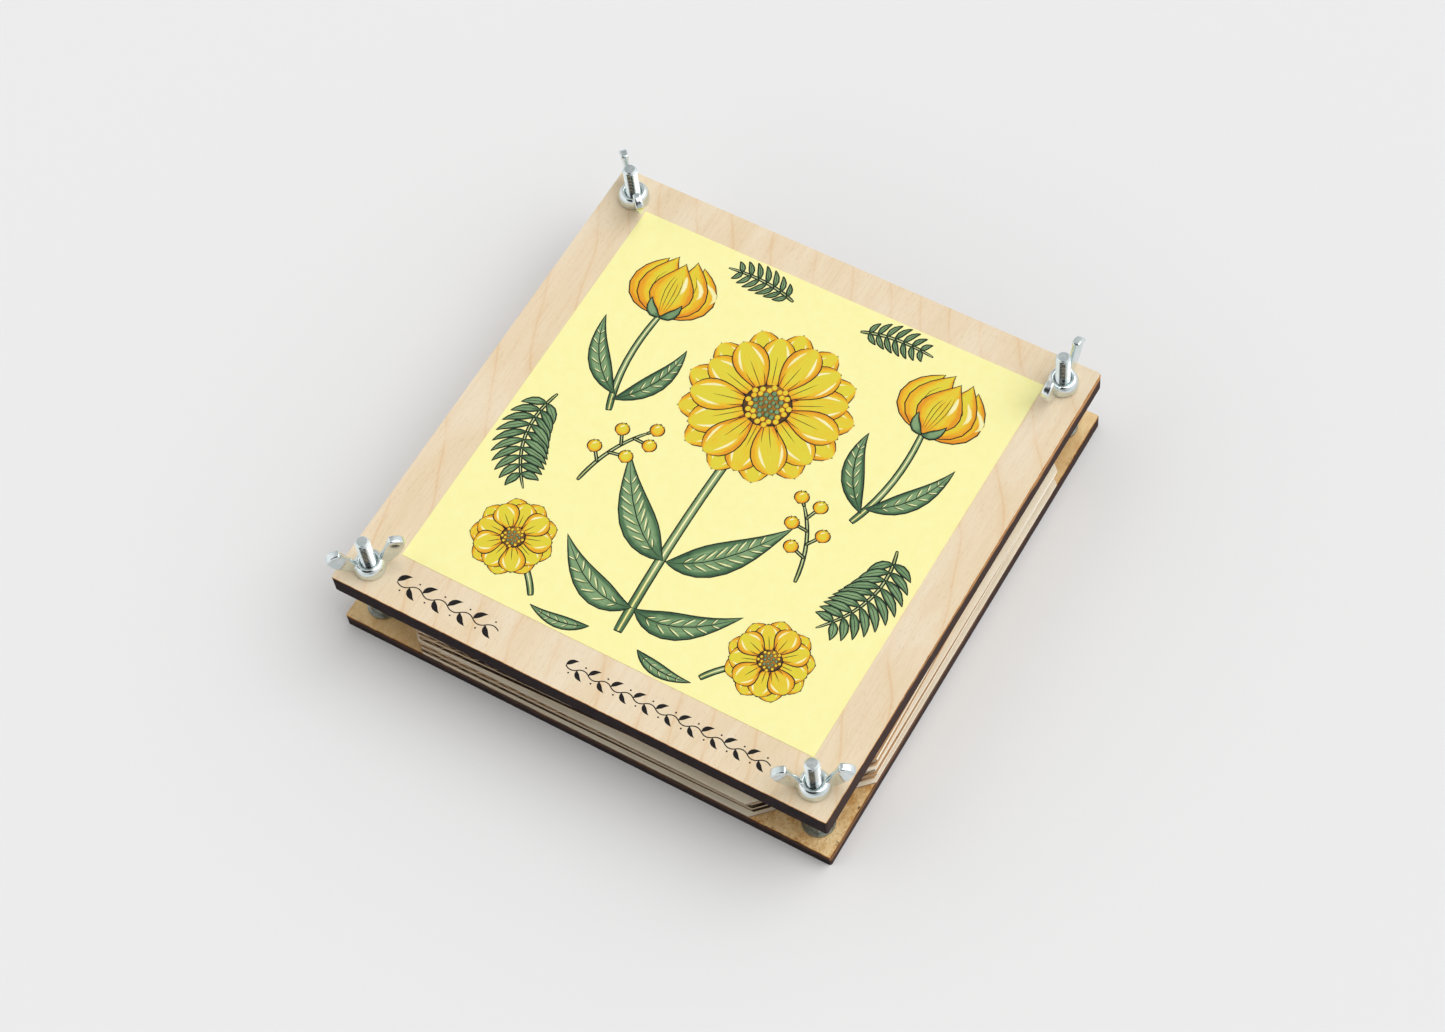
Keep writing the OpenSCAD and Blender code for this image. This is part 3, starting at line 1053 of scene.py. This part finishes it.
# %% Leaves and stems
def leaf(points, wide, veins):
    """A lance leaf with a midrib and side veins."""
    level = LEAF_LEVEL
    shape("leaf", points, pointed(wide), level, 14)
    stroke("outline", points, RIB, level + 2, 10)
    for i in range(veins):
        t = 0.16 + 0.62 * i / (veins - 1)
        start, along = bezier(points, t)
        half = pointed(wide)(t)
        for side in (-1, 1):
            out = Vector((along.y, -along.x)) * side
            end = start + out * half * 0.78 + along * half * 0.95
            knee = start + out * half * 0.42 + along * half * 0.35
            stroke("outline", [start, knee, end], VEIN, level + 2, 5)
            glow = [
                start + along * half * 0.22 + out * half * 0.15,
                end + along * half * 0.1 - out * half * 0.1,
            ]
            stroke("light", glow, 0.1 * wide ** 0.5, level + 2, 4, tint=0.0)


def stem(points, wide, level, tip):
    """A green stalk with a light line along it."""
    shape("stem", points, stalk(wide, tip), level, 14)
    ribbon("light", points, stalk(wide * 0.22, tip), level + 2, steps=10, across=1, tint=0.0)


# %% Ferns
def frond(points, pairs, size):
    """A fern: leaflets in pairs along a curved stalk, smaller towards the tip."""
    stem(points, 0.34, LEAF_LEVEL, 0.5)
    for i in range(pairs):
        t = 0.12 + 0.84 * i / pairs
        start, along = bezier(points, t)
        reach = size * math.sin(math.pi * (0.14 + 0.8 * t)) ** 0.8
        for side in (-1, 1):
            out = Vector((along.y, -along.x)) * side
            tip = start + out * reach + along * reach * 0.62
            knee = start + out * reach * 0.6 + along * reach * 0.12
            path = [start, knee, tip]
            level = LEAF_LEVEL + (1 + i % 2) * LIFT
            shape("leaf", path, pointed(size * 0.13), level, 7)
            stroke("outline", path, HAIRLINE, level + 2, 5)


# %% Berry sprigs
def berry(x, y, radius, level):
    """A round berry with a small crown and a light spot."""
    shape("petal", [(x, y - radius), (x, y), (x, y + radius)], disc(radius), level, 10)
    gleam = [
        (x - radius * 0.5, y + radius * 0.1), (x - radius * 0.3, y + radius * 0.6),
        (x + radius * 0.1, y + radius * 0.65),
    ]
    stroke("light", gleam, radius * 0.14, level + 2, 5)
    for angle in (-0.6, 0.0, 0.6):
        crown = turned(x, y, angle, [(0, radius * 0.75), (0, radius * 1.25)])
        stroke("outline", crown, HAIRLINE, level + 2, 4)


def sprig(points, count, radius):
    """A thin branch with round berries on short stalks."""
    stem(points, 0.42, LEAF_LEVEL, 0.5)
    for i in range(count):
        start, along = bezier(points, 0.3 + 0.7 * i / (count - 1))
        side = (1 if i % 2 else -1) if i < count - 1 else 0
        out = Vector((along.y, -along.x)) * side
        end = start + out * radius * 2.2 + along * radius * 1.5
        stem([start, end], 0.22, LEAF_LEVEL + LIFT, 0.9)
        berry(end.x, end.y, radius, LEAF_LEVEL + 2 * LIFT)


# %% [markdown]
# ## The drawing
#
# The plate is laid out in mirror halves, as old garden prints often are. One large open flower
# stands in the middle. Tulips, ferns, small daisies and berry sprigs fill the sides, with plain
# ground between them so that each can be read on its own.


# %% Draw the plate
def flip(side, points):
    """Points mirrored to the left or right half of the plate."""
    return [(side * px, py) for px, py in points]


stem([(0, -66), (-3, -20), (0, 20)], 1.4, STEM_LEVEL, 0.8)
bloom(0, 27, 29, petals=13, florets=46, spin=0.1)
for side in (-1, 1):
    leaf(flip(side, [(0.5, -38), (16, -34), (30, -9)]), 5.6, 8)
    leaf(flip(side, [(0.5, -57), (15, -62), (32, -44)]), 4.6, 6)
    stem(flip(side, [(45, 2), (52, 20), (49, 42)]), 0.95, STEM_LEVEL, 0.8)
    leaf(flip(side, [(46, 6), (33, 17), (34, 33)]), 3.4, 6)
    leaf(flip(side, [(46.5, 8), (61, 15), (65, 33)]), 3.4, 6)
    cup(side * 49, 41, side * -0.12, 24)
    frond(flip(side, [(63, -1), (69, -20), (54, -36)]), 10, 9.5)
    frond(flip(side, [(13, 66), (24, 70), (38, 68)]), 7, 5.5)
    stem(flip(side, [(31, -68), (36, -60), (47, -54)]), 0.8, STEM_LEVEL, 0.8)
    bloom(side * 47, -53, 14, petals=9, florets=26, spin=side * 0.2)
    sprig(flip(side, [(40, -25), (38, -10), (29, 0)]), 5, 2.2)
    leaf(flip(side, [(9, -69), (18, -74), (29, -71)]), 2.0, 5)
print({name: len(form.faces) for name, form in inks.items()})

# %% [markdown]
# Two small printed vines stand on the bare wood below the plate, as a border ornament.


# %% Border vines
def vine(start, end, y, size):
    """A wavy stalk. Each bend has a leaf on its hollow side and a bud on the other."""
    bends = round((end - start) / (size * 1.15))
    step = (end - start) / bends
    for i in range(bends):
        x = start + i * step
        way = 1 if i % 2 else -1
        wave = [(x, y), (x + step / 2, y + way * size * 0.42), (x + step, y)]
        ribbon("caption", wave, stalk(0.19, 1.0), 1, steps=10, across=1)
        down = -way * size
        path = [(x, y), (x + step * 0.12, y + down * 0.6), (x + step * 0.8, y + down * 0.8)]
        ribbon("caption", path, pointed(size * 0.22), 2, steps=9)
        bud_x, bud_y = x + step / 2, y + way * size * 0.55
        bud = [(bud_x, bud_y - 0.3), (bud_x, bud_y + 0.3)]
        ribbon("caption", bud, disc(0.32), 2, steps=6)


BORDER_Y = (press_low.y + panel_low.y) / 2 / MM - PANEL_Y / MM
vine(-71, -33, BORDER_Y, 4.4)
vine(-8, 65, BORDER_Y, 3.6)
print("vine faces", len(inks["caption"].faces))

# %% [markdown]
# ## Inks
#
# The colours are mixed like watercolour on a warm yellow paper. A petal is deep gold at its base
# and edges and clear yellow in its middle, and leaves and stems do the same in green. The place
# across and along each ribbon is stored on its points, and an Attribute node reads it.


# %% Ink finishes
STREAKS = 26


def ink_finish(name, dark, middle_colour, bright, edge=0.75):
    """Watercolour that deepens towards the base and the edges of each ribbon."""
    ink = Finish(name)
    memory = ink.node("ShaderNodeAttribute", {"attribute_name": "stroke"}, out="Vector")
    side, along, tint = ink.axes(memory)
    wash = ink.noise(ink.place(), (240, 240, 240), detail=3, rough=0.6)
    lines = (side * STREAKS + wash * 6 + tint * 9).wave() * 0.5 + 0.5
    deep = abs(side).between(edge - 0.35, 1.0) * 0.75 + along.between(0.0, 0.35, 0.7, 0.0)
    deep = deep + (wash - 0.5) * 0.6 + lines * 0.14 + (tint - 0.5) * 0.2
    colour = ink.mix(deep.between(-0.05, 0.45), bright, middle_colour)
    colour = ink.mix(deep.between(0.35, 1.05), colour, dark)
    grain = ink.noise(ink.place(), (2500, 2500, 2500), detail=2)
    return ink.surface(
        Base_Color=colour,
        Roughness=0.55,
        Specular_IOR_Level=0.3,
        Normal=ink.bump(grain, 0.01 * MM, 0.4),
    )


def line_finish(name, dark, worn):
    """Pen or printing ink, a little paler where the paper's grain shows through."""
    ink = Finish(name)
    grain = ink.noise(ink.place(), (1800, 1800, 1800), detail=3, rough=0.7)
    return ink.surface(
        Base_Color=ink.mix(grain.between(0.5, 0.8) * 0.5, dark, worn),
        Roughness=0.6,
        Specular_IOR_Level=0.2,
        Normal=ink.bump(grain, 0.01 * MM, 0.4),
    )


# %% Colours of the inks
ink_looks = {
    "outline": line_finish("pen_line", shade(24, 30, 22), shade(56, 60, 38)),
    "petal": ink_finish(
        "petal_gold", shade(232, 146, 24), shade(240, 192, 34), shade(228, 214, 58),
    ),
    "leaf": ink_finish(
        "leaf_green", shade(46, 80, 54), shade(88, 126, 84), shade(134, 166, 118), edge=0.9,
    ),
    "stem": ink_finish(
        "stem_green", shade(70, 104, 66), shade(116, 146, 96), shade(156, 178, 126), edge=0.8,
    ),
    "heart": ink_finish(
        "heart_brown", shade(66, 44, 20), shade(126, 84, 26), shade(176, 124, 36),
    ),
    "light": ink_finish(
        "light_strokes", shade(238, 222, 132), shade(248, 238, 160), shade(253, 247, 196),
    ),
    "caption": line_finish("border_black", shade(24, 22, 22), shade(66, 56, 48)),
}

# %% Print pieces
INK_DEPTH, INK_MERGE = 0.1 * MM, 0.0005 * MM

for name, form in inks.items():
    bmesh.ops.remove_doubles(form, verts=form.verts, dist=INK_MERGE)
    thicken(form, form.faces[:], (0, 0, -INK_DEPTH))
    finish_piece("print_" + name, form, ink_looks[name], "press", 0)
